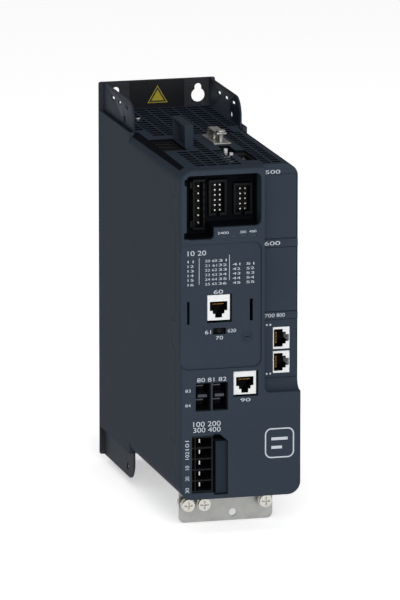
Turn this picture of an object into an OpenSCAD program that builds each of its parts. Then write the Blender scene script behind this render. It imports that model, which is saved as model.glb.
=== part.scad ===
// Book-format motor drive for a wall or a cabinet plate.
// X runs to the right, Y towards the wall and Z up. The origin lies on the wall face,
// midway between the two keyholes. Lengths are in millimetres.

/* [Body] */
// Width of the drive
body_w = 85; // [84:0.5:88]
// Depth from the wall to the front face
depth = 232.5; // [231:0.5:236]
// Height of the plastic housing
housing_h = 229.5; // [229:0.5:230]
// Radius of the housing's long edges
edge_r = 9; // [7:0.5:10]
// Thickness of the housing's walls
wall_t = 2.2; // [2:0.1:2.4]
// Depth of the front cover's tray
cover_d = 14; // [13.5:0.5:15]
// Thickness of the front cover's face
face_t = 3; // [2.8:0.1:3.2]

/* [Chassis] */
// Height of the wall plate
plate_h = 270; // [268:1:274]
// Thickness of the wall plate
plate_t = 1.5; // [1.2:0.1:1.6]
// Thickness of the folded channel
sheet_t = 1.2; // [1:0.1:1.3]
// Depth of the channel's flanges
flange_d = 87.5; // [84:0.5:88]
// Half the spacing of the keyholes
key_x = 30; // [28:0.5:31]
// Radius of a keyhole's round end
key_r = 4.9; // [4.5:0.1:5]
// Radius of a keyhole's neck
neck_r = 2.5; // [2:0.1:2.7]
// Radius of the two lower fixing holes
low_hole_r = 2.6; // [2.2:0.1:3]

/* [Fan] */
// Radius of the fan's blades
fan_r = 27.5; // [24:0.5:27.8]
// Number of blades
blade_n = 7; // [5:1:9]

/* [Connectors] */
// Pole spacing of the relay plug
relay_pitch = 5.08; // [5:0.01:5.1]
// Pole spacing of the two signal plugs
signal_pitch = 3.5; // [3.4:0.05:3.55]
// Pole spacing of the motor plug
motor_pitch = 7.62; // [7.5:0.01:7.65]

/* [Hidden] */
$fn = 48;
base_z = 20.5;                        // housing's underside above the plate's lower end
top_z = base_z + housing_h;
key_z = 257.4;                        // keyholes above the plate's lower end
low_z = 9;                            // lower fixing holes above the same end
front_y = -depth;
seam_y = front_y + cover_d;           // where the cover meets the housing
half_w = body_w / 2;
flange_x = half_w - 3.4;              // outer face of a flange
ring_y = -flange_d - 1.5;             // rear end of the housing's rounded part
column_x = 16.6;                      // right edge of the proud front column
bay_y = front_y + 10;                 // face of the option bay
bay_z = 93;                           // lower edge of the option bay
board_y = -197.6;                     // front face of the control board
pin_w = 0.9;
slate = "#333b45";
black = "#14161a";
zinc = "#a9aaa8";
tin = "#c9c7c2";
cream = "#dedcd3";

// Lifts a shape drawn from the plate's lower end into the drive's own frame
module from_base() {
    translate([0, 0, -key_z]) children();
}

// A box given by its limits along X, Y and Z
module block(x0, x1, y0, y1, z0, z1) {
    translate([x0, y0, z0]) cube([x1 - x0, y1 - y0, z1 - z0]);
}

// Draws an outline in X and Z through from y0 to y1
module along_y(y0, y1) {
    translate([0, y1, 0]) rotate([90, 0, 0]) linear_extrude(y1 - y0) children();
}

// Draws an outline in Y and Z through from x0 to x1
module along_x(x0, x1) {
    translate([x0, 0, 0]) rotate([90, 0, 90]) linear_extrude(x1 - x0) children();
}

// A rectangle with round corners
module rounded(x0, x1, z0, z1, r) {
    translate([x0 + r, z0]) square([x1 - x0 - 2 * r, z1 - z0]);
    translate([x0, z0 + r]) square([x1 - x0, z1 - z0 - 2 * r]);
    for (x = [x0 + r, x1 - r], z = [z0 + r, z1 - r]) translate([x, z]) circle(r);
}

// A round bar along Y
module bar_y(x, z, r, y0, y1) {
    translate([x, y1, z]) rotate([90, 0, 0]) cylinder(r = r, h = y1 - y0);
}

// The housing's front outline, drawn in by a wall's thickness
module body_outline(inset) {
    rounded(-half_w + inset, half_w - inset, base_z + inset, top_z - inset, edge_r - inset);
}

// ---- Chassis ----

module wall_plate() {
    neck_up = 5.9;
    color("#2b3038") from_base() along_y(-plate_t, 0) difference() {
        rounded(-half_w, half_w, 0, plate_h, 1.5);
        for (x = [-key_x, key_x]) {
            translate([x, key_z]) circle(key_r);
            translate([x - neck_r, key_z]) square([2 * neck_r, neck_up]);
            translate([x, key_z + neck_up]) circle(neck_r);
            translate([x, low_z]) circle(low_hole_r);
        }
    }
}

module flange_outline() {
    r = 13;
    translate([-flange_d + r, 0]) square([flange_d - r - plate_t, plate_h]);
    translate([-flange_d, r]) square([r + 0.1, plate_h - 2 * r]);
    for (z = [r, plate_h - r]) translate([-flange_d + r, z]) circle(r, $fn = 64);
}

module chassis_channel() {
    slot_pitch = 19.5;
    color("#262c34") from_base() {
        for (side = [-1, 1]) {
            x = side < 0 ? -flange_x : flange_x - sheet_t;
            along_x(x, x + sheet_t) difference() {
                flange_outline();
                for (i = [0:2]) translate([-34 - slot_pitch * i, 262.5]) square([9, 2.4]);
                translate([-62.6, 254]) circle(3);
                translate([-70, 7]) circle(2.6);
                for (z = [30, 240]) translate([-80, z]) circle(1.7);
            }
        }
        web_y = -plate_t - sheet_t;
        block(-flange_x + sheet_t, flange_x - sheet_t, web_y, -plate_t, 20, 246);
    }
}

// Moulded panel between the keyholes
module label_carrier() {
    color(black) from_base() block(-19.5, 19.5, -plate_t - sheet_t, -plate_t, 246.1, plate_h - 0.1);
}

// A blank caution triangle stuck on the channel's web
module warning_label() {
    face_y = -plate_t - sheet_t;
    color("#c9b42a") from_base() along_y(face_y - 0.2, face_y)
        polygon([[-7.3, 253.5], [7.3, 253.5], [0, 266]]);
}

module heat_sink() {
    fin_pitch = 6;
    color("#8d9094") from_base() translate([0, 0, 54]) linear_extrude(186) {
        translate([-37.8, -72]) square([75.6, 6]);
        for (i = [-6:6]) translate([i * fin_pitch - 0.7, -66.5]) square([1.4, 61]);
    }
}

// ---- Fan ----

fan_y = -36;
fan_z = 24;
fan_h = 25;

module fan_frame() {
    color(black) from_base() translate([0, fan_y, fan_z]) {
        linear_extrude(fan_h) difference() {
            rounded(-30, 30, -30, 30, 3);
            circle(28.5, $fn = 96);
            for (x = [-25, 25], y = [-25, 25]) translate([x, y]) circle(2.05);
        }
        difference() {
            union() {
                cylinder(r = 12.5, h = 4);
                cylinder(r = 3.4, h = 15);
                for (a = [45:90:315]) rotate([0, 0, a]) translate([10, -1.5, 0]) cube([19.2, 3, 3]);
            }
            translate([0, 0, -1]) cylinder(r = 1.55, h = 20);
        }
    }
}

module fan_rotor() {
    blade_l = fan_r - 13.8;
    color("#1b1d21") from_base() translate([0, fan_y, fan_z]) {
        difference() {
            translate([0, 0, 5]) cylinder(r = 14.5, h = 17);
            translate([0, 0, 4]) cylinder(r = 13, h = 12);
            translate([0, 0, 4]) cylinder(r = 1.5, h = 20);
        }
        for (i = [0:blade_n - 1]) rotate([0, 0, i * 360 / blade_n]) translate([13.9, 0, 14])
            rotate([52, 0, 0]) translate([0, -7.5, -0.6]) cube([blade_l, 15, 1.2]);
    }
}

module fan_shaft() {
    color(tin) from_base() translate([0, fan_y, fan_z + 0.5]) cylinder(r = 1.5, h = 21);
}

module fan_screws() {
    color(zinc) from_base() for (x = [-25, 25], y = [-25, 25]) translate([x, fan_y + y, 0]) {
        translate([0, 0, base_z + 0.3]) cylinder(r = 1.95, h = fan_z + fan_h - base_z - 0.2);
        translate([0, 0, fan_z + fan_h]) cylinder(r = 3.5, h = 2.4);
    }
}

// ---- Housing ----

rear_pitch = 9.8;      // rib spacing of the rear grille
front_pitch = 8.4;     // rib spacing of the front grille
edge_pitch = 7;        // rib spacing beside the option bay
rib_w = 1.2;
cross_drop = 1.2;      // how far the ribs across lie below the roof
row_pitch = 7.75;
row_open = 5.7;
edge_row_pitch = 6.65;
filter_x = -25.5;
filter_y = -46;

// One field of slots between ribs, in X and Y, or each column joined into one strip
module slot_field(x0, columns, pitch, y0, rows, step, open, joined) {
    length = joined ? (rows - 1) * step + open : open;
    for (i = [0:columns - 1], j = [0:(joined ? 0 : rows - 1)])
        translate([x0 + i * pitch + rib_w / 2, y0 + j * step]) square([pitch - rib_w, length]);
}

module top_slots(joined) {
    slot_field(-29.4, 6, rear_pitch, -104.5, 13, row_pitch, row_open, joined);
    slot_field(-37.2, 1, 7.8, -81.3, 10, row_pitch, row_open, joined);
    slot_field(29.4, 1, 7.8, -81.3, 10, row_pitch, row_open, joined);
    slot_field(-28.5, 4, front_pitch, -217, 7, row_pitch, row_open, joined);
    slot_field(-11.7, 1, front_pitch, -162.75, 7, row_pitch, row_open, joined);
    slot_field(18.8, 2, edge_pitch, -217, 17, edge_row_pitch, 5, joined);
}

module bottom_slots() {
    slot_field(-29.4, 6, rear_pitch, -81.3, 10, row_pitch, row_open, false);
    slot_field(-29.4, 6, rear_pitch, -158.8, 7, row_pitch, row_open, false);
}

// Outline, in Y and Z, of a snap tongue about height z, grown by a gap
module tongue_outline(z, gap) {
    tip = seam_y + 11 + gap;
    polygon([
        [seam_y - 0.5, z + 9.4 + gap], [tip, z + 9.4 + gap],
        [tip, z - 7 - gap], [seam_y - 0.5, z - 11.7 - gap]
    ]);
}

tongue_zs = [49, 134, 220];

module housing_shell() {
    side_in = flange_x + 0.1;
    rear_half = flange_x - sheet_t - 0.2;
    skin = 1.6;
    color(slate) from_base() difference() {
        union() {
            along_y(seam_y, ring_y) difference() {
                body_outline(0);
                body_outline(wall_t);
            }
            for (x = [-half_w, side_in])
                block(x, x + half_w - side_in, ring_y, -plate_t, base_z, top_z);
            for (z = [base_z, top_z - wall_t])
                block(-rear_half, rear_half, ring_y, -3, z, z + wall_t);
            // Guard beside the supply opening, hollow from its left
            difference() {
                block(-18.7, -12.8, -152.5, -118, top_z - wall_t, top_z + 16);
                block(-19, -14.2, -151.1, -119.4, top_z, top_z + 14.6);
            }
        }
        translate([0, 0, top_z - wall_t - 1]) linear_extrude(wall_t + 2) difference() {
            top_slots(false);
            translate([filter_x, filter_y]) circle(3.2);
        }
        // The ribs across lie lower than the ribs along
        translate([0, 0, top_z - cross_drop]) linear_extrude(1) difference() {
            top_slots(true);
            translate([filter_x, filter_y]) circle(3.2);
        }
        translate([filter_x, filter_y, top_z - 4]) cylinder(r = 1.5, h = 6);
        // Gap between each side's skin and the flange behind it
        for (x = [-half_w + skin, side_in - 1], z = [base_z - 1, top_z - 6])
            block(x, x + half_w - side_in - skin + 1, ring_y + 2, 1, z, z + 7);
        translate([0, 0, base_z - 1]) linear_extrude(wall_t + 2) bottom_slots();
        // Supply terminal's opening
        block(-35.5, -18.8, -159.8, -118.2, top_z - 8, top_z + 1);
        // Openings round the brake plug
        block(4.5, 12.5, -186, -151, top_z - 8, top_z + 1);
        block(9.5, 19, -206, -169, top_z - 8, top_z + 1);
        for (z = tongue_zs) along_x(-half_w - 1, half_w + 1) tongue_outline(z, 0.3);
        // Shadow gap behind the front cover
        along_y(seam_y - 0.1, seam_y + 0.5) difference() {
            body_outline(-1);
            body_outline(0.7);
        }
        for (x = [-25, 25], y = [-25, 25])
            translate([x, fan_y + y, base_z - 1]) cylinder(r = 2, h = 5);
        for (x = [-half_w + 0.8, side_in - 0.5], z = [30, 240]) translate([x, -80, z])
            rotate([0, 90, 0]) cylinder(r = 1.55, h = half_w - side_in - 0.3);
        // Ground plate's two fixing holes
        for (x = [-20, 20]) translate([x, -175, base_z - 1]) cylinder(r = 1.65, h = 5);
        // Clamp screw's hole
        translate([10.2, -138.5, top_z - 4]) cylinder(r = 1.9, h = 6);
    }
}

module housing_screws() {
    in_x = flange_x - sheet_t;
    color(zinc) from_base() for (side = [0, 1], z = [30, 240]) mirror([side, 0, 0]) translate([0, -80, z])
        rotate([0, 90, 0]) {
            translate([0, 0, in_x - 2]) cylinder(r = 2.9, h = 2);
            translate([0, 0, in_x - 0.1]) cylinder(r = 1.5, h = 3.6);
        }
}

// ---- Front cover ----

// Window over the signal plugs, lower on its left side
module io_window() {
    rounded(-38.3, 14.2, 210, 246.4, 4);
    rounded(-38.3, -19, 202, 246.4, 3);
    rounded(-40.2, -36, 202.6, 207.4, 1.2);
    rounded(-39.8, -36, 239.5, 244.3, 1.2);
}

module panel_outline(gap) {
    rounded(-half_w - gap, 14.2 + gap, 112 - gap, 198.7 + gap, 5.5);
}

// Space cut out of the cover for the option bay, with a hollow sweep at its foot
module bay_space() {
    sweep_r = 7;
    intersection() {
        along_y(front_y - 1, bay_y) rounded(column_x, 60, bay_z, 300, 4);
        union() {
            block(column_x, 60, front_y - 1, bay_y, bay_z + sweep_r, 300);
            block(column_x, 60, front_y - 1, bay_y - sweep_r, bay_z, bay_z + sweep_r + 1);
            translate([column_x, bay_y - sweep_r, bay_z + sweep_r]) rotate([0, 90, 0])
                cylinder(r = sweep_r, h = 50);
        }
    }
}

// Motor plug's window, with the sloping end of its latch trough
module motor_window() {
    polygon([[-34.7, 25.3], [-19.2, 25.3], [-19.2, 23.5], [-9.2, 23.5],
        [-9.2, 61], [-15.2, 66.3], [-19.2, 66.3], [-19.2, 65.4], [-34.7, 65.4]]);
}

module front_cover() {
    inner_y = front_y + face_t;
    floor_y = bay_y + 2.8;
    strips = [[142.1, 146.9], [192.5, 197.6], [242.5, 250]];
    color(slate) from_base() difference() {
        union() {
            difference() {
                along_y(front_y, seam_y) body_outline(0);
                along_y(inner_y, seam_y + 1) body_outline(wall_t);
                bay_space();
            }
            intersection() {
                along_y(front_y, seam_y) body_outline(0);
                difference() {
                    union() {
                        block(column_x - wall_t, half_w, bay_y, floor_y, bay_z - 3, top_z);
                        block(column_x - wall_t, column_x, front_y, floor_y, bay_z - 3, top_z);
                        block(column_x - wall_t, half_w, front_y, floor_y, bay_z - 3, bay_z + 8);
                    }
                    bay_space();
                }
            }
            intersection() {
                along_y(bay_y - 0.5, bay_y + 1) body_outline(0);
                for (s = strips) block(column_x - 1, half_w, bay_y - 0.5, bay_y + 1, s[0], s[1]);
            }
            for (z = tongue_zs, x = [-half_w, half_w - 2]) along_x(x, x + 2) tongue_outline(z, 0);
            // Ledge under the legend panel
            along_y(inner_y - 0.5, inner_y + 1) rounded(-40.4, 14.5, 111.5, 199.2, 5.5);
            // Liner of the latch trough
            block(-19.2, -7.7, inner_y - 1, -214.5, 22.7, 67.8);
        }
        along_y(front_y - 1, inner_y + 2) io_window();
        along_y(front_y - 1, front_y + 2) panel_outline(0.2);
        along_y(front_y - 1, inner_y + 2) rounded(-37.4, 11.2, 115, 195.7, 3);
        along_y(front_y - 1, inner_y + 2) motor_window();
        along_y(front_y - 1, -216) polygon([[-19.3, 24], [-9.2, 24], [-9.2, 61], [-15.2, 66.3], [-19.3, 66.3]]);
        for (x = led_xs) along_y(front_y - 1, inner_y + 2) rounded(x - 1.85, x + 1.85, 202.2, 204.4, 1);
        along_y(front_y - 1, inner_y + 2) rounded(-32, -21.1, 82.6, 102.3, 0.6);
        along_y(front_y - 1, inner_y + 2) rounded(-20, -9.1, 82.6, 102.3, 0.6);
        block(-5.4, 12.2, front_y - 1, inner_y + 2, 91.4, 109.2);
        // Bending groove in front of each snap tongue
        for (z = tongue_zs, x = [-half_w - 1, half_w - 0.5])
            block(x, x + 1.5, front_y + 4, front_y + 4.6, z - 16, z + 16);
        // Option slots and network plate
        for (z = [147.2, 198]) {
            block(17.1, 41.9, bay_y - 1, bay_y + 1.6, z, z + 44.9);
            block(19, 39.8, bay_y - 1, floor_y + 1, z + 2, z + 42.9);
        }
        block(17.1, 41.9, bay_y - 1, bay_y + 1.6, 101, 141.7);
        block(19, 39.8, bay_y - 1, floor_y + 1, 102.5, 140);
    }
}

led_xs = [-12.4, -5.3, 1.8, 8.9];

module status_lenses() {
    color("#59626e") from_base() for (x = led_xs) {
        along_y(front_y + 0.2, front_y + 4) rounded(x - 1.75, x + 1.75, 202.3, 204.3, 0.9);
        along_y(front_y + 3.9, board_y) rounded(x - 1.3, x + 1.3, 202.4, 204.2, 0.8);
    }
}

// Pocket behind the signal window, holding the plug sockets in its back wall
module io_bezel() {
    face_y = -209;
    color("#2b3139") from_base() difference() {
        intersection() {
            along_y(front_y, -200) body_outline(wall_t + 0.2);
            union() {
                block(-40.1, 14.3, front_y + face_t + 0.1, -219.4, 208, 247.6);
                block(-40.1, 15.8, -219.4, face_y + 1.5, 208, 247.6);
                block(-40.1, -17.2, front_y + face_t + 0.1, face_y + 1.5, 200.4, 208);
            }
        }
        block(-38.3, 14.5, front_y, face_y, 210, 246.4);
        block(-38.3, -19, front_y, face_y, 202, 246.4);
        block(-30.9, -20.1, front_y, face_y + 5, 204.5, 240.1);
        block(-17.8, -4.6, front_y, face_y + 5, 213.8, 239.3);
        block(-0.3, 13.5, front_y, face_y + 5, 213.7, 236.1);
        block(3.3, 10, front_y, face_y + 1, 238, 241);
    }
}

module control_panel_plate() {
    plate_y = front_y + 0.8;
    color(slate) from_base() difference() {
        along_y(plate_y, plate_y + 1.2) difference() {
            panel_outline(0);
            translate([-23.8, 143.9]) square([17.5, 19.5]);
            rounded(-38, -36, 143.5, 159.3, 0.6);
            rounded(6.3, 8.5, 144, 159.4, 0.6);
            translate([-19.6, 135.7]) square([9.1, 4.4]);
            translate([4.5, 133]) circle(2.75);
        }
        // Oval mark round the lock
        along_y(plate_y - 0.1, plate_y + 0.3) difference() {
            rounded(0.85, 8.15, 128.5, 137.5, 3.2);
            rounded(1.1, 7.9, 128.75, 137.25, 2.95);
        }
        // Ramps beside the two catch slots
        translate([8.4, plate_y - 0.2, 144.2]) rotate([0, 0, -14]) translate([0, -1, 0]) cube([2.8, 1.2, 15]);
        translate([-38, plate_y - 0.2, 143.7]) rotate([0, 0, 14]) translate([-2.8, -1, 0]) cube([2.8, 1.2, 15.4]);
    }
}

// ---- Signal plugs ----

header_y = front_y + 20;

// Row of square posts standing out of the control board
module posts(xs, z0, count, pitch, tip_y) {
    for (x = xs, i = [0:count - 1])
        block(x - pin_w / 2, x + pin_w / 2, tip_y, board_y, z0 + i * pitch - pin_w / 2, z0 + i * pitch + pin_w / 2);
}

module post_holes(xs, z0, count, pitch) {
    hole = pin_w / 2 + 0.05;
    for (x = xs, i = [0:count - 1])
        block(x - hole, x + hole, -206, board_y + 1, z0 + i * pitch - hole, z0 + i * pitch + hole);
}

relay_z0 = 222.3 - 2.5 * relay_pitch;
digital_z0 = 226.5 - 2.5 * signal_pitch;
analog_z0 = 224.85 - 2 * signal_pitch;

module relay_header() {
    color(black) from_base() difference() {
        union() {
            block(-28.6, -20.3, header_y, board_y, 204.9, 239.7);
            for (z = [206.5, 233.5]) block(-30.5, -28.5, header_y + 1, board_y, z, z + 4.6);
        }
        block(-27.6, -21.6, header_y - 1, -204, 206.4, 238.2);
        for (i = [0:6]) bar_y(-20.3, relay_z0 + (i - 0.5) * relay_pitch, 0.9, header_y - 1, board_y + 1);
        post_holes([-24.6], relay_z0, 6, relay_pitch);
    }
}

module relay_header_pins() {
    color(tin) from_base() posts([-24.6], relay_z0, 6, relay_pitch, -211);
}

module digital_header() {
    color(black) from_base() difference() {
        block(-17.5, -4.9, header_y, board_y, 214.1, 239);
        block(-16.1, -6.3, header_y - 1, -204, 216, 237);
        block(-12.4, -10, header_y - 1, -206, 214, 217);
        post_holes([-12.95, -9.45], digital_z0, 6, signal_pitch);
    }
}

module digital_header_pins() {
    color(tin) from_base() posts([-12.95, -9.45], digital_z0, 6, signal_pitch, -211);
}

module analog_header() {
    color(black) from_base() difference() {
        block(0, 13.2, header_y, board_y, 214, 235.8);
        block(1.6, 11.6, header_y - 1, -204, 215.8, 233.9);
        block(5.3, 7.7, header_y - 1, -206, 213.9, 217);
        post_holes([4.85, 8.35], analog_z0, 5, signal_pitch);
    }
}

module analog_header_pins() {
    color(tin) from_base() posts([4.85, 8.35], analog_z0, 5, signal_pitch, -211);
}

// ---- Jacks ----

// Modular jack with its face at Y = 0 and its latch slot downwards, centred in X and Z
module jack_body(w, h, length, roof, foot) {
    mouth_y = 13;
    difference() {
        block(-w / 2, w / 2, 0, length, -h / 2, h / 2);
        block(-6.1, 6.1, -1, mouth_y, roof - 6.2, roof);
        block(-4.1, 4.1, -1, mouth_y, roof - 8.4, roof - 6);
        block(-2.4, 2.4, -1, mouth_y, foot, roof - 8);
    }
}

// Eight sloping contact wires under a jack's roof
module jack_wires(roof) {
    for (i = [0:7])
        translate([(i - 3.5) * 1.02 - 0.2, 2, roof - 2.2]) rotate([10, 0, 0]) cube([0.4, 9.5, 0.5]);
}

jack_y = front_y + 1.3;
jack_roof = 4.1;
jack_foot = -7;
network_roof = 5.2;
network_x = 31;
network_zs = [111.9, 128.7];

module hmi_jack() {
    color(cream) from_base() translate([-15.5, jack_y, 154.25]) jack_body(15.9, 17.7, board_y - jack_y, jack_roof, jack_foot);
}

module hmi_jack_contacts() {
    color("#b8863b") from_base() translate([-15.5, jack_y, 154.25]) jack_wires(jack_roof);
}

module serial_jack() {
    color(cream) from_base() translate([3, jack_y, 100.8]) jack_body(15.9, 16.4, board_y - jack_y, jack_roof, jack_foot);
}

module serial_jack_contacts() {
    color("#b8863b") from_base() translate([3, jack_y, 100.8]) jack_wires(jack_roof);
}

module network_jack(z) {
    color(cream) from_base() translate([network_x, bay_y - 0.2, z]) rotate([0, -90, 0])
        jack_body(15.3, 11.7, 16, network_roof, -5.4);
}

module network_jack_upper() {
    network_jack(network_zs[1]);
}

module network_jack_lower() {
    network_jack(network_zs[0]);
}

module network_jack_contacts() {
    color("#b8863b") from_base() for (z = network_zs)
        translate([network_x, bay_y - 0.2, z]) rotate([0, -90, 0]) jack_wires(network_roof);
}

module network_port_plate() {
    color(slate) from_base() difference() {
        union() {
            block(17.3, 41.7, bay_y, bay_y + 1.5, 101.2, 141.5);
            block(19.2, 39.6, bay_y + 1.4, bay_y + 3.6, 102.7, 139.8);
        }
        for (z = network_zs)
            block(network_x - 6, network_x + 6, bay_y - 1, bay_y + 5, z - 7.8, z + 7.8);
    }
}

// ---- Option covers ----

module option_cover(z) {
    color(slate) from_base() {
        block(17.3, 41.7, bay_y, bay_y + 1.5, z + 0.2, z + 44.7);
        for (x = [19.4, 38.2], dz = [5, 31.9])
            block(x, x + 1.2, bay_y + 1.4, bay_y + 8, z + dz, z + dz + 8);
    }
}

module option_cover_upper() {
    option_cover(198);
}

module option_cover_lower() {
    option_cover(147.2);
}

// ---- Power plugs ----

dc_bus_xs = [-31.7, -19.7];   // left edge of each pole's pocket
dc_strip_zs = [90.3, 100.1];

module dc_bus_socket() {
    face_y = front_y + face_t + 0.1;
    color(black) from_base() difference() {
        block(-33.2, -8, face_y, -206, 81.4, 103.5);
        for (x = dc_bus_xs) {
            block(x, x + 10.3, face_y - 1, -212, 82.9, 102);
            for (z = dc_strip_zs) block(x + 0.05, x + 5.45, -213, -205, z - 0.05, z + 0.75);
            block(x + 1.95, x + 8.45, -213, -205, 91.85, 93.85);
        }
    }
}

module dc_bus_blades() {
    color(zinc) from_base() for (x = dc_bus_xs) {
        for (z = dc_strip_zs) block(x + 0.1, x + 5.4, -230.5, -203, z, z + 0.7);
        block(x + 2, x + 8.4, -229.5, -203, 91.9, 93.8);
    }
}

motor_z0 = 45.35 - 2 * motor_pitch;

module motor_header() {
    face_y = front_y + 1.2;
    color(black) from_base() difference() {
        block(-34.5, -19.5, face_y, -205, 25.6, 65.1);
        for (i = [-2:2]) {
            z = motor_z0 + (i + 2) * motor_pitch;
            block(-31.6, -20.6, face_y - 1, -212, z - 3.3, z + 3.3);
            block(-34.1, -32.5, face_y - 1, -218, z - 3.3, z + 3.3);
            block(-28.15, -27.25, -213, -204, z - 1.35, z + 1.35);
        }
        for (z = [34.6, 57.3]) block(-20.4, -19, face_y + 2, -214, z - 2, z + 2);
    }
}

module motor_header_pins() {
    color(tin) from_base() for (i = [0:4]) {
        z = motor_z0 + i * motor_pitch;
        block(-28.1, -27.3, -226, -202, z - 1.3, z + 1.3);
    }
}

// Fixed jaw beside the motor plug, behind which the plug's latch hooks
module latch_guide() {
    color(black) from_base() block(-17.4, -9.4, front_y + 2, -216, 24.2, 60.8);
}

module supply_terminal() {
    color(black) from_base() difference() {
        block(-35.3, -19, -159.6, -118.4, top_z - 22, top_z - 1.5);
        for (i = [0:3]) {
            y = -154.2 + i * 10.16;
            block(-33.8, -20.6, y - 4.3, y + 4.3, top_z - 18, top_z);
            block(-28.75, -25.65, y - 0.65, y + 0.65, top_z - 23, top_z - 17);
        }
    }
}

module supply_terminal_pins() {
    color(tin) from_base() for (i = [0:3]) {
        y = -154.2 + i * 10.16;
        block(-28.7, -25.7, y - 0.6, y + 0.6, top_z - 25, top_z - 8);
    }
}

// ---- Switch and lock in the legend panel ----

module selector_switch() {
    color(black) from_base() difference() {
        block(-21, -9.1, front_y + 2.1, -226, 134.4, 141.4);
        block(-20, -10.1, front_y + 1, -227, 135.4, 140.4);
    }
    color(black) from_base() block(-19, -11.1, -226, board_y, 135.4, 140.4);
}

module selector_slider() {
    color("#3a3f46") from_base() {
        block(-16.9, -13.2, -228.6, -227.2, 135.8, 140);
        block(-16.1, -14, -230.6, -228.6, 136.4, 139.4);
    }
}

module panel_lock() {
    color("#262c34") from_base() difference() {
        union() {
            bar_y(4.5, 133, 2.6, front_y + 0.7, front_y + 6);
            bar_y(4.5, 133, 3.6, front_y + 2.3, front_y + 4);
        }
        block(2.75, 6.25, front_y, front_y + 2, 132.6, 133.4);
    }
}

// ---- Clamp and brake plug on the roof ----

module clamp_rail() {
    color(zinc) from_base() difference() {
        block(3.4, 15.5, -147, -113, top_z, top_z + 1);
        translate([10.2, -138.5, top_z - 1]) cylinder(r = 1.9, h = 3);
    }
}

module cable_clamp() {
    color(tin) from_base() difference() {
        union() {
            along_x(6.5, 13.5) polygon([[-142.5, 256], [-119, 256], [-115.5, 251], [-114, 251.8],
                [-117.5, 257.2], [-142.5, 257.2]]);
            block(6.5, 8, -134, -124, 251.6, 256.2);
        }
        translate([10.2, -138.5, 250]) cylinder(r = 1.9, h = 10);
    }
}

module clamp_screw() {
    color(zinc) from_base() translate([10.2, -138.5, 0]) {
        translate([0, 0, top_z - 3]) cylinder(r = 1.85, h = 10.4);
        translate([0, 0, 257.2]) difference() {
            cylinder(r = 3.3, h = 1.4);
            translate([-2.4, -0.4, 0.6]) cube([4.8, 0.8, 2]);
        }
    }
}

// Screw that ties the supply filter to earth, in a boss of the rear grille
module filter_screw() {
    color(zinc) from_base() translate([filter_x, filter_y, 0]) difference() {
        union() {
            translate([0, 0, top_z - 3]) cylinder(r = 1.45, h = 3.6);
            translate([0, 0, top_z + 0.5]) cylinder(r = 2.4, h = 1.5);
        }
        translate([-1.8, -0.35, top_z + 1.2]) cube([3.6, 0.7, 2]);
    }
}

module brake_header() {
    color(black) from_base() difference() {
        block(9.7, 18.8, -205.7, -169.3, top_z - 12, top_z - 1.5);
        block(11, 17.5, -198, -177, top_z - 10, top_z);
        for (y = [-189.6, -184.5]) block(13.7, 14.7, y - 0.5, y + 0.5, top_z - 13, top_z - 9);
    }
}

module brake_header_pins() {
    color(tin) from_base() for (y = [-189.6, -184.5])
        block(13.75, 14.65, y - 0.45, y + 0.45, top_z - 14, top_z - 2.5);
}

module release_posts() {
    color(cream) from_base() {
        block(5, 9.4, -185.5, -151.5, top_z - 9, top_z - 5);
        for (y = [-179.5, -164.6]) translate([7, y, top_z - 5.1]) cylinder(r = 1.3, h = 5.6);
    }
}

// ---- Earth bonding plate under the housing ----

ground_xs = [-28.7, -17.4, 26.3];
ground_z = 8.9;

module ground_plate() {
    color(zinc) from_base() difference() {
        union() {
            along_y(-192, -190.5) rounded(-33.3, 33.3, -5.2, 20.4, 4);
            block(-29.3, 28.2, -190.6, -166, base_z - 1.6, base_z - 0.1);
        }
        bar_y(4.95, 0.3, 2.7, -193, -190);
        for (x = ground_xs) bar_y(x, ground_z, 2.6, -193, -190);
        for (x = [-20, 20]) translate([x, -175, base_z - 3]) cylinder(r = 1.65, h = 4);
    }
}

module ground_screws() {
    color(tin) from_base() {
        for (x = ground_xs) {
            bar_y(x, ground_z, 2.5, -197.5, -183);
            bar_y(x, ground_z, 4.8, -197.2, -196);
            difference() {
                bar_y(x, ground_z, 4.3, -201, -197.1);
                block(x - 3, x + 3, -202, -199.2, ground_z - 0.5, ground_z + 0.5);
                block(x - 0.5, x + 0.5, -202, -199.2, ground_z - 3, ground_z + 3);
            }
        }
        for (x = [-20, 20]) translate([x, -175, 0]) {
            translate([0, 0, base_z - 1.7]) cylinder(r = 1.6, h = 5.5);
            translate([0, 0, base_z - 3.6]) cylinder(r = 2.9, h = 2);
        }
    }
}

module ground_nuts() {
    color(zinc) from_base() for (x = ground_xs) difference() {
        bar_y(x, ground_z, 4.5, -190.5, -186.5);
        bar_y(x, ground_z, 2.55, -191, -186);
    }
}

// ---- Electronics ----

power_board_y = -89.6;

module power_board() {
    color("#1f5b3a") from_base() block(-38, 38, power_board_y, power_board_y + 1.6, 27, 244);
}

module power_board_spacers() {
    color("#b9a25c") from_base() for (x = [-33, 33], z = [60, 234])
        bar_y(x, z, 3, power_board_y + 1.6, -72);
}

module thermal_pad() {
    color("#c8ccd0") from_base() block(-25, 25, -72.3, -72, 95, 165);
}

module power_module() {
    color("#202226") from_base() {
        block(-25, 25, -84, -72.3, 95, 165);
        for (x = [-22, -14, -6, 6, 14, 22], z = [100, 160])
            block(x - 0.5, x + 0.5, power_board_y + 1.6, -83.9, z - 0.5, z + 0.5);
    }
}

module bus_capacitors() {
    color("#23262b") from_base() for (x = [-17, 17], z = [158, 190])
        bar_y(x, z, 13, -140, power_board_y);
}

module filter_choke() {
    color("#a5602e") from_base() translate([0, -100, 75]) rotate([90, 0, 0])
        rotate_extrude() translate([17, 0]) circle(8);
}

module control_board() {
    color("#1f5b3a") from_base() difference() {
        block(-39, 15.6, board_y, board_y + 1.6, 68, 244);
        // Corner cut away behind the brake plug
        block(9.2, 16, board_y - 1, board_y + 3, 237.4, 250);
    }
}

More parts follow.
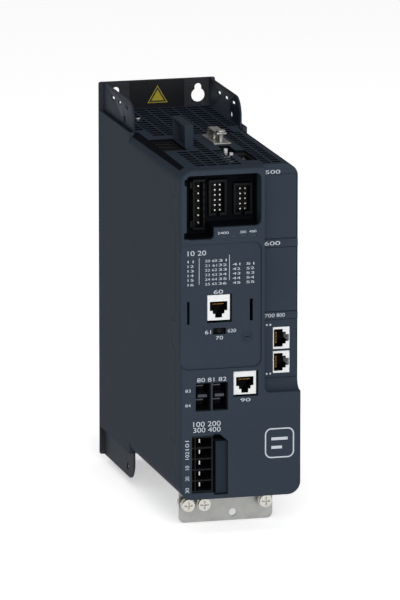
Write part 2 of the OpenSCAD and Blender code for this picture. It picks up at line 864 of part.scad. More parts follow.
module control_board_pillars() {
    color(black) from_base() for (x = [-35, 11], z = [116, 223])
        bar_y(x, z, 2.5, board_y + 1.6, power_board_y);
}

module signal_relays() {
    color("#2e5f9c") from_base() for (z = [206, 226])
        block(-34, -22, board_y + 1.6, board_y + 17, z, z + 14);
}

module network_board() {
    color("#1f5b3a") from_base() block(36.9, 38.5, -218, -120, 104, 139);
}

wall_plate();
chassis_channel();
label_carrier();
warning_label();
heat_sink();
fan_frame();
fan_rotor();
fan_shaft();
fan_screws();
housing_shell();
housing_screws();
front_cover();
io_bezel();
control_panel_plate();
relay_header();
relay_header_pins();
digital_header();
digital_header_pins();
analog_header();
analog_header_pins();
status_lenses();
hmi_jack();
hmi_jack_contacts();
serial_jack();
serial_jack_contacts();
network_port_plate();
network_jack_upper();
network_jack_lower();
network_jack_contacts();
option_cover_upper();
option_cover_lower();
dc_bus_socket();
dc_bus_blades();
motor_header();
motor_header_pins();
latch_guide();
selector_switch();
selector_slider();
panel_lock();
supply_terminal();
supply_terminal_pins();
clamp_rail();
cable_clamp();
clamp_screw();
filter_screw();
brake_header();
brake_header_pins();
release_posts();
ground_plate();
ground_screws();
ground_nuts();
power_board();
power_board_spacers();
power_module();
thermal_pad();
bus_capacitors();
filter_choke();
control_board();
control_board_pillars();
signal_relays();
network_board();
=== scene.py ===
import math

import bpy
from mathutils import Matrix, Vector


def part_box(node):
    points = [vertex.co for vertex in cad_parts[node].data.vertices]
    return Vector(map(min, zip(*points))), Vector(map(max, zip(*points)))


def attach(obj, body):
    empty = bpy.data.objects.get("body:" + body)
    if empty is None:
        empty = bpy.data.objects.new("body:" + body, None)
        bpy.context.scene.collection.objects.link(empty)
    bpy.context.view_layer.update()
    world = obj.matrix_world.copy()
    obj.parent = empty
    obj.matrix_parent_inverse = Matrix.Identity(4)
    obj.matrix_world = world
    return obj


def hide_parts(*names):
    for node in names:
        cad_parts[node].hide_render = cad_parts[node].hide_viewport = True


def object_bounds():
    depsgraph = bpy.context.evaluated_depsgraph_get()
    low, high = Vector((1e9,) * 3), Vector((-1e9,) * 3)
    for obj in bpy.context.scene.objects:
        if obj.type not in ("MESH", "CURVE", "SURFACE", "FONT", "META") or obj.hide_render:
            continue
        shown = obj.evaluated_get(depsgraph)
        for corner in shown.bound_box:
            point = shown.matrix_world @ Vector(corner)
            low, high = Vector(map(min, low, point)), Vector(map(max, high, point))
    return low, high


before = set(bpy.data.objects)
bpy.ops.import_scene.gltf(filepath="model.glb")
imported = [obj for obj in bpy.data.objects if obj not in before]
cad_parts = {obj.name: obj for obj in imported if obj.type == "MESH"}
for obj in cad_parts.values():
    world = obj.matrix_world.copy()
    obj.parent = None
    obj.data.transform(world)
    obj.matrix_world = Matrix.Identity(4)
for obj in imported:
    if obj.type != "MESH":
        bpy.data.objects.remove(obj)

cad_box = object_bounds()

# ---- Studio ----
# A pale sweep with a large softbox ahead and above, a fill on the right and a strip above. The
# room is brighter in front than behind, so that the dark sides keep their colour.
# The camera stands well back with a long lens, a little left of centre and a little above.
camera_turn = math.radians(-14.64)
camera_lift = math.radians(12.279)
camera_distance = 4.9438
camera_back = (
    math.sin(camera_turn) * math.cos(camera_lift),
    -math.cos(camera_turn) * math.cos(camera_lift),
    math.sin(camera_lift),
)
camera_right = (math.cos(camera_turn), math.sin(camera_turn), 0.0)
camera_up = (
    -math.sin(camera_turn) * math.sin(camera_lift),
    math.cos(camera_turn) * math.sin(camera_lift),
    math.cos(camera_lift),
)
camera_aim = (0.0, -0.11625, -0.1224)
aim_right = 0.001374
aim_up = -0.000566
camera_place = [
    camera_aim[i] + aim_right * camera_right[i] + aim_up * camera_up[i]
    + camera_distance * camera_back[i]
    for i in range(3)
]
bpy.ops.object.select_all(action="DESELECT")
bpy.ops.object.camera_add(
    location=camera_place, rotation=(math.pi / 2 - camera_lift, 0.0, camera_turn)
)
camera = bpy.context.object
camera.name = "studio_camera"
camera.data.sensor_width = 36.0
camera.data.lens = 426.08
camera.data.clip_end = 60.0
bpy.context.scene.camera = camera


def linear(code):
    """Turns an sRGB hex colour into the linear values that shaders take."""
    parts = [int(code[i:i + 2], 16) / 255 for i in (1, 3, 5)]
    return tuple(c / 12.92 if c <= 0.04045 else ((c + 0.055) / 1.055) ** 2.4 for c in parts) + (1.0,)


def add(material, kind, values=(), **settings):
    """Adds one node. Values go to its sockets by name or number, and an output among them is linked."""
    node = material.node_tree.nodes.new("ShaderNode" + kind)
    for key, value in settings.items():
        setattr(node, key, value)
    for key, value in dict(values).items():
        if isinstance(value, bpy.types.NodeSocket):
            material.node_tree.links.new(value, node.inputs[key])
        else:
            node.inputs[key].default_value = value
    return node


def bare_material(name):
    """A material with an empty node tree, named for the real stuff."""
    material = bpy.data.materials.new(name)
    material.use_nodes = True
    material.node_tree.nodes.clear()
    return material


def softbox(name, place, aim, width, height, power):
    """An area light of that size in metres, pointed at aim."""
    bpy.ops.object.light_add(type="AREA", location=place)
    light = bpy.context.object
    light.name = name
    light.data.shape = "RECTANGLE"
    light.data.size = width
    light.data.size_y = height
    light.data.energy = power
    away = [place[i] - aim[i] for i in range(3)]
    flat = math.hypot(away[0], away[1])
    light.rotation_euler = (math.atan2(flat, away[2]), 0.0, math.atan2(away[0], -away[1]))
    return light


floor_z = cad_box[0][2] - 0.0005
softbox("key_softbox", (-0.5, -3.0, 1.1), (0.0, -0.12, -0.12), 1.6, 1.6, 60.0)
softbox("fill_softbox", (1.9, -2.2, 0.5), (0.0, -0.12, -0.12), 1.2, 1.8, 20.0)
softbox("roof_strip", (-0.3, -0.4, 2.4), (0.0, -0.12, 0.0), 1.6, 1.2, 12.0)

# Matt paper, almost white, lit from beneath a little so that it stays pale up to the horizon
paper = bare_material("matt_white_paper")
paper_grain = add(paper, "TexNoise", {
    "Vector": add(paper, "TexCoord").outputs["Object"], "Scale": 3.0, "Detail": 2.0,
})
paper_tone = add(paper, "MapRange", {
    "Value": paper_grain.outputs["Fac"], "To Min": 0.86, "To Max": 0.9,
})
paper_shade = add(paper, "BsdfPrincipled", {
    "Base Color": paper_tone.outputs["Result"], "Roughness": 0.9, "Specular IOR Level": 0.1,
    "Emission Color": linear("#ffffff"), "Emission Strength": 0.5,
})
add(paper, "OutputMaterial", {"Surface": paper_shade.outputs["BSDF"]})
bpy.ops.mesh.primitive_circle_add(
    vertices=96, radius=30.0, fill_type="NGON", location=(0.0, 0.0, floor_z),
)
floor = bpy.context.object
floor.name = "studio_floor"
floor.data.materials.append(paper)

# The room gives more light from the front than from the back, and is white where it is looked at
room = bpy.data.worlds.new("studio_room")
room.use_nodes = True
room.node_tree.nodes.clear()
room_place = add(room, "SeparateXYZ", {0: add(room, "TexCoord").outputs["Generated"]})
room_fall = add(room, "MapRange", {
    "Value": room_place.outputs["Y"], "From Min": -1.0, "From Max": 1.0, "To Min": 0.55, "To Max": 0.22,
})
room_light = add(room, "Background", {
    "Color": linear("#ffffff"), "Strength": room_fall.outputs["Result"],
})
room_seen = add(room, "Background", {"Color": linear("#ffffff"), "Strength": 1.0})
room_mix = add(room, "MixShader", {
    0: add(room, "LightPath").outputs["Is Camera Ray"],
    1: room_light.outputs["Background"], 2: room_seen.outputs["Background"],
})
add(room, "OutputWorld", {"Surface": room_mix.outputs["Shader"]})
bpy.context.scene.world = room
bpy.context.scene.view_settings.view_transform = "Standard"

# ---- Wall plate ----
# A 1.5 mm sheet of steel, laser cut and powder coated in a dark warm grey. It screws to the
# cabinet through two keyholes at the top and two plain holes at the bottom.
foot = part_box("wall_plate")[0][2]


def at(x, y, z):
    """A place given in millimetres, with z counted from the wall plate's lower end."""
    return (x / 1000, y / 1000, foot + z / 1000)


def lone(piece):
    """Leaves only this piece selected and active."""
    bpy.ops.object.select_all(action="DESELECT")
    piece.select_set(True)
    bpy.context.view_layer.objects.active = piece


def settle(piece, name, material, body="drive"):
    """Puts a finished piece's place into its mesh, dresses it and lets it ride on a body."""
    lone(piece)
    bpy.ops.object.transform_apply(location=True, rotation=True, scale=True)
    piece.name = name
    piece.data.name = name
    if material is not None:
        piece.data.materials.clear()
        piece.data.materials.append(material)
    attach(piece, body)
    return piece


def copy_of(node, name):
    """A copy of a node with its doubled corners merged, left selected and active."""
    piece = bpy.data.objects.new(name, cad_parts[node].data.copy())
    bpy.context.scene.collection.objects.link(piece)
    lone(piece)
    bpy.ops.mesh.customdata_custom_splitnormals_clear()
    bpy.ops.object.mode_set(mode="EDIT")
    bpy.ops.mesh.select_all(action="SELECT")
    bpy.ops.mesh.remove_doubles(threshold=0.000002)
    bpy.ops.mesh.dissolve_limited(angle_limit=math.radians(0.5))
    bpy.ops.object.mode_set(mode="OBJECT")
    return piece


def eased(node, width_mm, material, body="drive", first_cut=None):
    """A copy of a node with its sharp edges rounded as a mould or a deburring brush leaves them."""
    piece = copy_of(node, node + "_eased")
    if first_cut:
        first_cut(piece)
    rounding = piece.modifiers.new("edges", "BEVEL")
    rounding.width = width_mm / 1000
    rounding.segments = 2
    rounding.limit_method = "ANGLE"
    rounding.angle_limit = math.radians(38)
    rounding.use_clamp_overlap = True
    bpy.ops.object.modifier_apply(modifier="edges")
    bpy.ops.object.shade_smooth_by_angle(angle=math.radians(40))
    evening = piece.modifiers.new("flats", "WEIGHTED_NORMAL")
    evening.keep_sharp = True
    bpy.ops.object.modifier_apply(modifier="flats")
    settle(piece, node + "_eased", material, body)
    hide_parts(node)
    return piece


def dress(node, material):
    """Gives a node that stays as it is its finished material."""
    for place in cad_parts[node].material_slots:
        place.material = material


def coated_steel(name, deep, pale, rough):
    """Powder coat on sheet steel: a satin film with fine orange peel, and painted highlight that pales
    its convex edges.
    """
    material = bare_material(name)
    place = add(material, "TexCoord").outputs["Object"]
    peel = add(material, "TexNoise", {"Vector": place, "Scale": 850.0, "Detail": 2.0, "Roughness": 0.5})
    clouds = add(material, "TexNoise", {
        "Vector": place, "Scale": 28.0, "Detail": 3.0, "Roughness": 0.6,
    })
    tone = add(material, "Mix", {
        0: clouds.outputs["Fac"], 6: linear(deep), 7: linear(pale),
    }, data_type="RGBA")
    # Painted highlight: convex edges, found by pointiness, are mixed towards a pale grey
    edges = add(material, "MapRange", {
        "Value": add(material, "NewGeometry").outputs["Pointiness"],
        "From Min": 0.53, "From Max": 0.62, "To Min": 0.0, "To Max": 0.35,
    })
    edge_highlight_tone = add(material, "Mix", {
        0: edges.outputs["Result"], 6: tone.outputs[2], 7: linear("#5d646d"),
    }, data_type="RGBA")
    sheen = add(material, "MapRange", {
        "Value": peel.outputs["Fac"], "To Min": rough - 0.06, "To Max": rough + 0.06,
    })
    relief = add(material, "Bump", {
        "Height": peel.outputs["Fac"], "Strength": 0.18, "Distance": 0.0002,
    })
    shade = add(material, "BsdfPrincipled", {
        "Base Color": edge_highlight_tone.outputs[2], "Roughness": sheen.outputs["Result"],
        "Specular IOR Level": 0.03, "Normal": relief.outputs["Normal"],
    })
    add(material, "OutputMaterial", {"Surface": shade.outputs["BSDF"]})
    return material


warm_coat = coated_steel("powder_coated_steel_warm_grey", "#222325", "#2c2d30", 0.5)
eased("wall_plate", 0.3, warm_coat)

# ---- Chassis channel ----
# A 1.2 mm folded channel behind the housing. Its two flanges rise past the roof and hang below
# the floor as rounded ears, pierced with slots for ties, and are coated in the drive's slate.
slate_coat = coated_steel("powder_coated_steel_slate", "#1a2029", "#212832", 0.5)
eased("chassis_channel", 0.25, slate_coat)

# ---- Label carrier and caution triangle ----
# A smooth black moulded panel between the keyholes, with a plain yellow film triangle stuck on it.
# The film has a black printed border inside a thin yellow rim.


def moulded_plastic(name, deep, pale, rough, grain_mm, relief_mm, shine=0.5):
    """Injection-moulded plastic with the fine grain of a spark-eroded tool and faint flow marks."""
    material = bare_material(name)
    place = add(material, "TexCoord").outputs["Object"]
    grain = add(material, "TexNoise", {
        "Vector": place, "Scale": 1000 / grain_mm, "Detail": 2.0, "Roughness": 0.55,
    })
    flow = add(material, "TexNoise", {
        "Vector": place, "Scale": 14.0, "Detail": 3.0, "Roughness": 0.55, "Distortion": 0.4,
    })
    tone = add(material, "Mix", {
        0: flow.outputs["Fac"], 6: linear(deep), 7: linear(pale),
    }, data_type="RGBA")
    speck = add(material, "MapRange", {
        "Value": grain.outputs["Fac"], "From Min": 0.3, "From Max": 0.7, "To Min": 0.93, "To Max": 1.07,
    })
    grained = add(material, "VectorMath", {
        0: tone.outputs[2], "Scale": speck.outputs["Result"],
    }, operation="SCALE")
    sheen = add(material, "MapRange", {
        "Value": grain.outputs["Fac"], "To Min": rough - 0.05, "To Max": rough + 0.05,
    })
    relief = add(material, "Bump", {
        "Height": grain.outputs["Fac"], "Strength": 0.35, "Distance": relief_mm / 1000,
    })
    shade = add(material, "BsdfPrincipled", {
        "Base Color": grained.outputs["Vector"], "Roughness": sheen.outputs["Result"],
        "Specular IOR Level": shine, "Normal": relief.outputs["Normal"],
    })
    add(material, "OutputMaterial", {"Surface": shade.outputs["BSDF"]})
    return material


smooth_black = moulded_plastic("polished_black_abs", "#050609", "#090b0f", 0.35, 2.0, 0.005, 0.3)
eased("label_carrier", 0.2, smooth_black)

caution_film = moulded_plastic("yellow_vinyl_film", "#857a06", "#968a0c", 0.42, 1.2, 0.01)
black_ink = moulded_plastic("black_screen_ink", "#0a0a08", "#12110d", 0.45, 1.0, 0.01)

triangle = copy_of("warning_label", "caution_triangle")
triangle.data.materials.clear()
triangle.data.materials.append(caution_film)
triangle.data.materials.append(black_ink)
bpy.ops.object.mode_set(mode="EDIT")
bpy.ops.mesh.select_mode(type="FACE")
bpy.ops.mesh.select_all(action="DESELECT")
bpy.ops.object.mode_set(mode="OBJECT")
for face in triangle.data.polygons:
    face.select = face.normal.y < -0.9
bpy.ops.object.mode_set(mode="EDIT")
for rim, colour in ((0.0005, 1), (0.0011, 0)):
    bpy.ops.mesh.inset(thickness=rim, depth=0.0)
    triangle.active_material_index = colour
    bpy.ops.object.material_slot_assign()
bpy.ops.object.mode_set(mode="OBJECT")
settle(triangle, "caution_triangle", None)
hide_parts("warning_label")

# ---- Heat sink ----
# An extruded aluminium comb between the flanges, left bare. The die leaves fine lines along it.
aluminium = bare_material("extruded_aluminium")
die_place = add(aluminium, "Mapping", {
    "Vector": add(aluminium, "TexCoord").outputs["Object"], "Scale": (1.0, 1.0, 0.02),
})
die_lines = add(aluminium, "TexNoise", {
    "Vector": die_place.outputs["Vector"], "Scale": 1400.0, "Detail": 2.0,
})
die_tone = add(aluminium, "Mix", {
    0: die_lines.outputs["Fac"], 6: linear("#7b7e82"), 7: linear("#a3a6a9"),
}, data_type="RGBA")
die_sheen = add(aluminium, "MapRange", {
    "Value": die_lines.outputs["Fac"], "To Min": 0.3, "To Max": 0.48,
})
die_relief = add(aluminium, "Bump", {
    "Height": die_lines.outputs["Fac"], "Strength": 0.2, "Distance": 0.00005,
})
die_shade = add(aluminium, "BsdfPrincipled", {
    "Base Color": die_tone.outputs[2], "Metallic": 1.0, "Roughness": die_sheen.outputs["Result"],
    "Normal": die_relief.outputs["Normal"],
})
add(aluminium, "OutputMaterial", {"Surface": die_shade.outputs["BSDF"]})
dress("heat_sink", aluminium)

# ---- Fan ----
# A 60 mm axial fan of black glass-filled nylon that blows up through the fins, on a steel shaft,
# held by four zinc-plated screws through the housing's floor.
black_nylon = moulded_plastic("black_glass_filled_nylon", "#07080a", "#0c0d10", 0.5, 0.9, 0.03, 0.12)


def plated_metal(name, deep, pale, rough, streak=(1.0, 1.0, 1.0)):
    """Plated steel: rolled streaks under a thin bright layer, clouded by handling and passivation."""
    material = bare_material(name)
    place = add(material, "TexCoord").outputs["Object"]
    rolled = add(material, "TexNoise", {
        "Vector": add(material, "Mapping", {"Vector": place, "Scale": streak}).outputs["Vector"],
        "Scale": 1100.0, "Detail": 3.0,
    })
    clouds = add(material, "TexNoise", {
        "Vector": place, "Scale": 160.0, "Detail": 4.0, "Roughness": 0.65,
    })
    tone = add(material, "Mix", {
        0: clouds.outputs["Fac"], 6: linear(deep), 7: linear(pale),
    }, data_type="RGBA")
    sheen = add(material, "MapRange", {
        "Value": clouds.outputs["Fac"], "From Min": 0.3, "From Max": 0.7,
        "To Min": rough - 0.08, "To Max": rough + 0.08,
    })
    relief = add(material, "Bump", {
        "Height": rolled.outputs["Fac"], "Strength": 0.25, "Distance": 0.00006,
    })
    shade = add(material, "BsdfPrincipled", {
        "Base Color": tone.outputs[2], "Metallic": 1.0, "Roughness": sheen.outputs["Result"],
        "Normal": relief.outputs["Normal"],
    })
    add(material, "OutputMaterial", {"Surface": shade.outputs["BSDF"]})
    return material


zinc_plate = plated_metal("zinc_plated_steel", "#8b8c89", "#afb0ad", 0.42, (0.08, 1.0, 1.0))
bright_tin = plated_metal("bright_tin_plate", "#b4b2ab", "#d6d4ce", 0.3)
eased("fan_frame", 0.3, black_nylon)
dress("fan_rotor", black_nylon)
dress("fan_shaft", bright_tin)
dress("fan_screws", zinc_plate)

# ---- Power electronics ----
# A green glass laminate board carries the power module, pressed to the heat sink over a soft pad,
# four sleeved electrolytic capacitors and the copper-wound filter choke.
solder_mask = bare_material("green_solder_mask")
mask_place = add(solder_mask, "TexCoord").outputs["Object"]
mask_tracks = add(solder_mask, "TexBrick", {
    "Vector": add(solder_mask, "Mapping", {
        "Vector": mask_place, "Rotation": (math.pi / 2, 0.0, 0.0),
    }).outputs["Vector"],
    "Scale": 160.0, "Mortar Size": 0.03, "Brick Width": 0.9, "Row Height": 0.35,
    "Color1": linear("#0d3a24"), "Color2": linear("#11482c"), "Mortar": linear("#1d6a42"),
})
mask_weave = add(solder_mask, "TexNoise", {"Vector": mask_place, "Scale": 900.0})
mask_relief = add(solder_mask, "Bump", {
    "Height": mask_tracks.outputs["Fac"], "Strength": 0.3, "Distance": 0.00004,
})
mask_sheen = add(solder_mask, "MapRange", {
    "Value": mask_weave.outputs["Fac"], "To Min": 0.22, "To Max": 0.36,
})
mask_shade = add(solder_mask, "BsdfPrincipled", {
    "Base Color": mask_tracks.outputs["Color"], "Roughness": mask_sheen.outputs["Result"],
    "IOR": 1.52, "Normal": mask_relief.outputs["Normal"],
})
add(solder_mask, "OutputMaterial", {"Surface": mask_shade.outputs["BSDF"]})
turned_brass = plated_metal("turned_brass", "#8d7434", "#b39a52", 0.32)
filled_silicone = moulded_plastic("filled_silicone_sheet", "#9da1a4", "#b0b4b7", 0.7, 0.8, 0.03)
pvc_sleeve = moulded_plastic("black_pvc_shrink_sleeve", "#0b0c0f", "#14161a", 0.25, 3.0, 0.02)
enamelled_copper = plated_metal("enamelled_copper_wire", "#7a3a1a", "#a8592c", 0.3)
for board in ("power_board", "control_board", "network_board"):
    dress(board, solder_mask)
dress("power_board_spacers", turned_brass)
dress("thermal_pad", filled_silicone)
dress("power_module", black_nylon)
dress("bus_capacitors", pvc_sleeve)
dress("filter_choke", enamelled_copper)

# ---- Control board parts ----
# Nylon pillars hold the control board behind the front cover, with two blue cased relays on it.
relay_blue = moulded_plastic("blue_pbt_relay_case", "#1a3c66", "#234a7a", 0.35, 1.5, 0.01)
dress("control_board_pillars", black_nylon)
dress("signal_relays", relay_blue)

# ---- Housing ----
# One slate polycarbonate moulding open at the front, with a grille of small slots in its roof and
# floor and a tall guard beside the supply opening. Four screws through the flanges hold it.
# Its reflection is set far below a real plastic's, so that the pale floor leaves its sides dark.
slate_plastic = moulded_plastic(
    "slate_polycarbonate", "#272e37", "#2c333d", 0.55, 0.8, 0.04, 0.012,
)
housing = eased("housing_shell", 0.3, slate_plastic)
# The sunken web of the roof's grille gets a rougher, near-black slate as painted shade, so that its
# cells look nearly black
painted_grille_shade = moulded_plastic(
    "painted_grille_shade_polycarbonate", "#0b0d11", "#101318", 0.8, 0.5, 0.06, 0.01,
)
housing.data.materials.append(painted_grille_shade)
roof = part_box("front_cover")[1].z
web_start = 0.0003
web_end = 0.0025
for face in housing.data.polygons:
    if roof - web_end < face.center.z < roof - web_start:
        face.material_index = 1
dress("housing_screws", zinc_plate)

# ---- Supply plug, clamp and brake plug on the roof ----
# Black nylon sockets sit under openings in the roof. Beside them a tinned spring clamp is screwed
# to a zinc-plated rail, and two cream release posts stand in a recess by the brake plug.
cream_nylon = moulded_plastic("cream_nylon", "#b9babb", "#c6c7c8", 0.4, 1.2, 0.02, 0.3)
eased("supply_terminal", 0.25, black_nylon)
dress("supply_terminal_pins", bright_tin)
eased("clamp_rail", 0.2, zinc_plate)
eased("cable_clamp", 0.25, bright_tin)
eased("clamp_screw", 0.3, zinc_plate)
eased("filter_screw", 0.3, zinc_plate)
eased("brake_header", 0.25, black_nylon)
dress("brake_header_pins", bright_tin)
eased("release_posts", 0.3, cream_nylon)

# ---- Signal plugs ----
# Three shrouded headers with tinned posts stand on the control board and reach forward through
# the back wall of a deep slate pocket. Four smoked light guides show through slots below it.
# The pocket's slate is painted near-black as painted shade for its depth
painted_pocket_shade = moulded_plastic(
    "slate_polycarbonate_painted_pocket_shade", "#090b0f", "#0d1014", 0.55, 0.8, 0.04, 0.012,
)
smoked_guide = moulded_plastic("smoked_acrylic", "#262d36", "#2e3640", 0.25, 2.5, 0.005, 0.1)
eased("io_bezel", 0.25, painted_pocket_shade)
for header in ("relay_header", "digital_header", "analog_header"):
    eased(header, 0.2, black_nylon)
    dress(header + "_pins", bright_tin)
eased("status_lenses", 0.2, smoked_guide)

# ---- Front cover ----
# A shallow slate tray that snaps on with three tongues a side. Its front edge is rolled over,
# and the right-hand part is stepped back for the option bay above a hollow sweep.


def pick_edges(piece, wanted):
    """In edit mode, selects the edges whose two ends pass the test, and nothing else."""
    bpy.ops.object.mode_set(mode="EDIT")
    bpy.ops.mesh.select_mode(type="EDGE")
    bpy.ops.mesh.select_all(action="DESELECT")
    bpy.ops.object.mode_set(mode="OBJECT")
    for edge in piece.data.edges:
        edge.select = wanted(*(piece.data.vertices[v].co for v in edge.vertices))
    bpy.ops.object.mode_set(mode="EDIT")


def keep_within(piece, tool):
    """Keeps what lies inside the tool, and takes the tool away."""
    lone(piece)
    cut = piece.modifiers.new("cut", "BOOLEAN")
    cut.object = tool
    cut.operation = "INTERSECT"
    cut.solver = "EXACT"
    bpy.ops.object.modifier_apply(modifier="cut")
    bpy.data.objects.remove(tool)


def roll_front_edge(piece):
    """Rolls the cover's outer front edge over, by keeping what lies inside a rounded block."""
    low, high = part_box("front_cover")
    clear = 0.00002
    roll = 0.0018
    depth = 0.06
    bpy.ops.mesh.primitive_cube_add(size=1.0, location=(
        0.0, low.y + depth / 2, (low.z + high.z) / 2,
    ))
    block = bpy.context.object
    block.scale = (high.x - low.x + 2 * clear, depth, high.z - low.z + 2 * clear)
    bpy.ops.object.transform_apply(location=True, rotation=True, scale=True)
    pick_edges(block, lambda a, b: abs(a.y - b.y) > depth / 2)
    bpy.ops.mesh.bevel(offset=0.009, segments=24)
    pick_edges(block, lambda a, b: max(a.y, b.y) < low.y + clear)
    bpy.ops.mesh.bevel(offset=roll, segments=6)
    bpy.ops.object.mode_set(mode="OBJECT")
    keep_within(piece, block)


eased("front_cover", 0.35, slate_plastic, first_cut=roll_front_edge)

# ---- Legend panel ----
# A thin slate plate in a shallow recess of the cover, with an opening for the display jack,
# a two-way selector, a quarter-turn lock and two catch slots. Its marks are pad printed in white.
gilt_wire = plated_metal("gilt_phosphor_bronze", "#9a6a2a", "#c0904a", 0.3)
# Near-black painted shade for the inside of the jacks' mouths
jack_shadow = moulded_plastic("jack_mouth_painted_shade", "#040405", "#070709", 0.6, 0.9, 0.02, 0.1)
white_ink = moulded_plastic("white_pad_print_ink", "#989ea5", "#a8adb3", 0.5, 0.6, 0.005, 0.3)
ink_step = 0.012    # millimetres by which the ink stands proud
panel_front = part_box("control_panel_plate")[0][1] * 1000


def mark(x0, x1, z0, z1, y, text=None, turned=False):
    """One printed mark that fills its rectangle: a bar, or digits when a text is given."""
    bpy.ops.object.select_all(action="DESELECT")
    if text is None:
        bpy.ops.mesh.primitive_plane_add(size=1.0)
    else:
        bpy.ops.object.text_add()
        bpy.context.object.data.body = text
        bpy.ops.object.convert(target="MESH")
    piece = bpy.context.object
    if turned:
        piece.rotation_euler = (0.0, 0.0, math.pi / 2)
        bpy.ops.object.transform_apply(location=False, rotation=True, scale=False)
    across = [v.co.x for v in piece.data.vertices]
    upward = [v.co.y for v in piece.data.vertices]
    scale_x = (x1 - x0) / 1000 / (max(across) - min(across))
    scale_z = (z1 - z0) / 1000 / (max(upward) - min(upward))
    piece.scale = (scale_x, scale_z, 1.0)
    piece.rotation_euler = (math.pi / 2, 0.0, 0.0)
    corner = at(x0, y - ink_step, z0)
    piece.location = (corner[0] - min(across) * scale_x, corner[1], corner[2] - min(upward) * scale_z)
    bpy.ops.object.transform_apply(location=True, rotation=True, scale=True)
    return piece


def printed(name, marks):
    """Joins marks into one print and gives the ink its thickness."""
    lone(marks[0])
    for piece in marks:
        piece.select_set(True)
    bpy.ops.object.join()
    piece = bpy.context.object
    film = piece.modifiers.new("film", "SOLIDIFY")
    film.thickness = 2 * ink_step / 1000
    film.offset = -1.0
    bpy.ops.object.modifier_apply(modifier="film")
    return settle(piece, name, white_ink)


def darken_mouth(piece, node):
    """Gives the faces inside a jack's mouth a near-black material as painted shade."""
    low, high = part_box(node)
    rim = 0.0009
    mouth_depth = 0.014
    piece.data.materials.append(jack_shadow)
    for face in piece.data.polygons:
        middle = face.center
        if (low.x + rim < middle.x < high.x - rim and low.z + rim < middle.z < high.z - rim
                and low.y + rim / 3 < middle.y < low.y + mouth_depth):
            face.material_index = 1


eased("control_panel_plate", 0.25, slate_plastic, first_cut=roll_front_edge)
darken_mouth(eased("hmi_jack", 0.3, cream_nylon), "hmi_jack")
dress("hmi_jack_contacts", gilt_wire)
eased("selector_switch", 0.15, black_nylon)
eased("selector_slider", 0.2, black_nylon, "selector")
eased("panel_lock", 0.25, slate_plastic, "lock")

# The legend lists the signal plugs' poles by number, in five columns with two fine rules
legend_marks = [mark(-37.4, -24.5, 191.1, 194.5, panel_front, "10 20")]
legend_top = 187.9
legend_pitch = 3.2
digit_height = 1.7
for first, last, top_row, rows, tens in (
    (-37.4, -33.2, 0, 6, 1), (-25.2, -16.8, 0, 6, 2), (-15.7, -10.0, 0, 6, 3),
    (-5.9, -0.4, 1, 5, 4), (3.8, 9.4, 1, 5, 5),
):
    for row in range(rows):
        top = legend_top - (row + top_row) * legend_pitch
        if last - first < 7:
            number = str(10 * tens + row + 1)
        else:
            number = "%d %d" % (10 * tens + row, 60 + row)
        legend_marks.append(mark(first, last, top - digit_height, top, panel_front, number))
legend_marks.append(mark(-29.5, -29.15, 171.0, 189.2, panel_front))
legend_marks.append(mark(-8.25, -7.9, 173.0, 190.5, panel_front))
for first, last, low, high, number in (
    (-19.1, -12.6, 163.9, 166.7, "60"), (-17.6, -12.6, 132.0, 134.6, "70"),
    (-25.2, -21.0, 136.2, 138.9, "61"), (-9.2, -3.4, 136.6, 139.0, "620"),
):
    legend_marks.append(mark(first, last, low, high, panel_front, number))
printed("panel_legend", legend_marks)

# ---- Serial jack, bus sockets and motor plug ----
# A second cream jack, a two-pole bus socket with flat blades, and the five-way motor header
# beside the fixed jaw that its plug's latch hooks behind.
darken_mouth(eased("serial_jack", 0.3, cream_nylon), "serial_jack")
dress("serial_jack_contacts", gilt_wire)
eased("dc_bus_socket", 0.25, black_nylon)
dress("dc_bus_blades", plated_metal("oxidised_tin_plate", "#34383e", "#50555b", 0.5))
eased("motor_header", 0.2, black_nylon)
dress("motor_header_pins", bright_tin)
# The jaw is given a darker slate than the housing as painted shade
eased("latch_guide", 0.4, moulded_plastic(
    "slate_jaw_painted_shade", "#1c2128", "#21272f", 0.55, 0.8, 0.04, 0.02,
))

# The cover's own marks are printed round its sockets and above the light guides
cover_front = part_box("front_cover")[0][1] * 1000
cover_marks = [
    mark(first, last, low, high, cover_front, number) for first, last, low, high, number in (
        (-31.0, -10.3, 103.2, 106.0, "80 81 82"), (-39.3, -35.5, 96.4, 98.5, "83"),
        (-39.3, -35.5, 86.2, 88.2, "84"), (-0.4, 6.6, 87.9, 90.2, "90"),
        (-33.7, -14.4, 72.0, 75.5, "100 200"), (-33.7, -14.4, 68.0, 71.4, "300 400"),
        (-16.7, -8.8, 205.3, 207.0, "2400"), (-0.9, 3.4, 205.3, 207.0, "300"),
        (5.6, 10.6, 205.4, 207.1, "400"),
    )
]
for low, high, number in (
    (56.2, 62.6, "101"), (49.6, 55.0, "102"), (42.3, 45.2, "10"), (34.5, 37.6, "20"),
    (26.0, 29.6, "30"),
):
    cover_marks.append(mark(-39.3, -36.6, low, high, cover_front, number, turned=True))
printed("cover_legend", cover_marks)

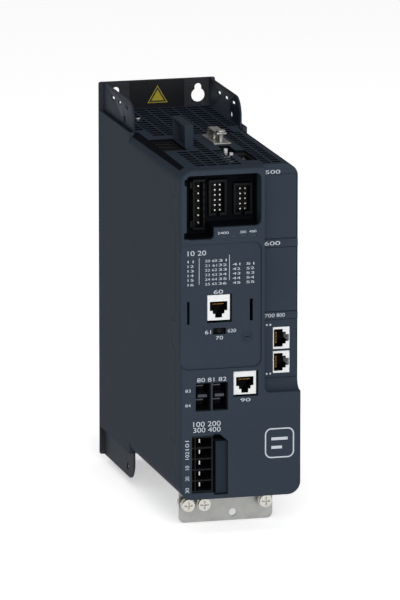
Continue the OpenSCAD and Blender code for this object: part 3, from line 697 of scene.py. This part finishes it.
# A plain rounded frame with two bars stands on the lower right of the cover
bpy.ops.object.select_all(action="DESELECT")
bpy.ops.mesh.primitive_plane_add(size=1.0)
badge = bpy.context.object
badge.scale = (0.0207, 0.021, 1.0)
badge.rotation_euler = (math.pi / 2, 0.0, 0.0)
badge.location = at(27.25, cover_front - ink_step, 57.5)
bpy.ops.object.transform_apply(location=True, rotation=True, scale=True)
bpy.ops.object.mode_set(mode="EDIT")
bpy.ops.mesh.bevel(offset=0.0045, segments=8, affect="VERTICES")
bpy.ops.mesh.select_mode(type="FACE")
bpy.ops.mesh.inset(thickness=0.0009, depth=0.0)
bpy.ops.mesh.delete(type="FACE")
bpy.ops.object.mode_set(mode="OBJECT")
printed("cover_badge", [
    badge, mark(21.5, 33.0, 59.5, 61.5, cover_front), mark(21.5, 29.0, 53.5, 55.5, cover_front),
])

# ---- Option bay ----
# Two blank covers snap over the option slots, and a plate with two network jacks fills the third.
eased("option_cover_upper", 0.3, slate_plastic, "option_cover_top")
eased("option_cover_lower", 0.3, slate_plastic, "option_cover_low")
eased("network_port_plate", 0.25, slate_plastic)
for jack in ("network_jack_upper", "network_jack_lower"):
    darken_mouth(eased(jack, 0.3, cream_nylon), jack)
dress("network_jack_contacts", gilt_wire)
bay_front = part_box("option_cover_upper")[0][1] * 1000 - 0.5
printed("bay_legend", [
    mark(19.5, 29.9, 243.3, 245.9, bay_front, "500"),
    mark(18.9, 30.0, 193.7, 196.4, bay_front, "600"),
    mark(19.2, 26.2, 143.5, 146.0, bay_front, "700"),
    mark(27.6, 33.4, 143.5, 146.0, bay_front, "800"),
])
# A square dot for each link lamp stands beside the two jacks
port_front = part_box("network_port_plate")[0][1] * 1000
printed("link_marks", [
    mark(x - 0.6, x + 0.6, z, z + 1.2, port_front) for x in (20.8, 23.3) for z in (103.4, 137.6)
])

# ---- Earth plate ----
# A folded zinc-plated plate under the housing, with three pan-head screws for cable shields.
eased("ground_plate", 0.25, zinc_plate)
eased("ground_screws", 0.4, bright_tin)
eased("ground_nuts", 0.3, zinc_plate)
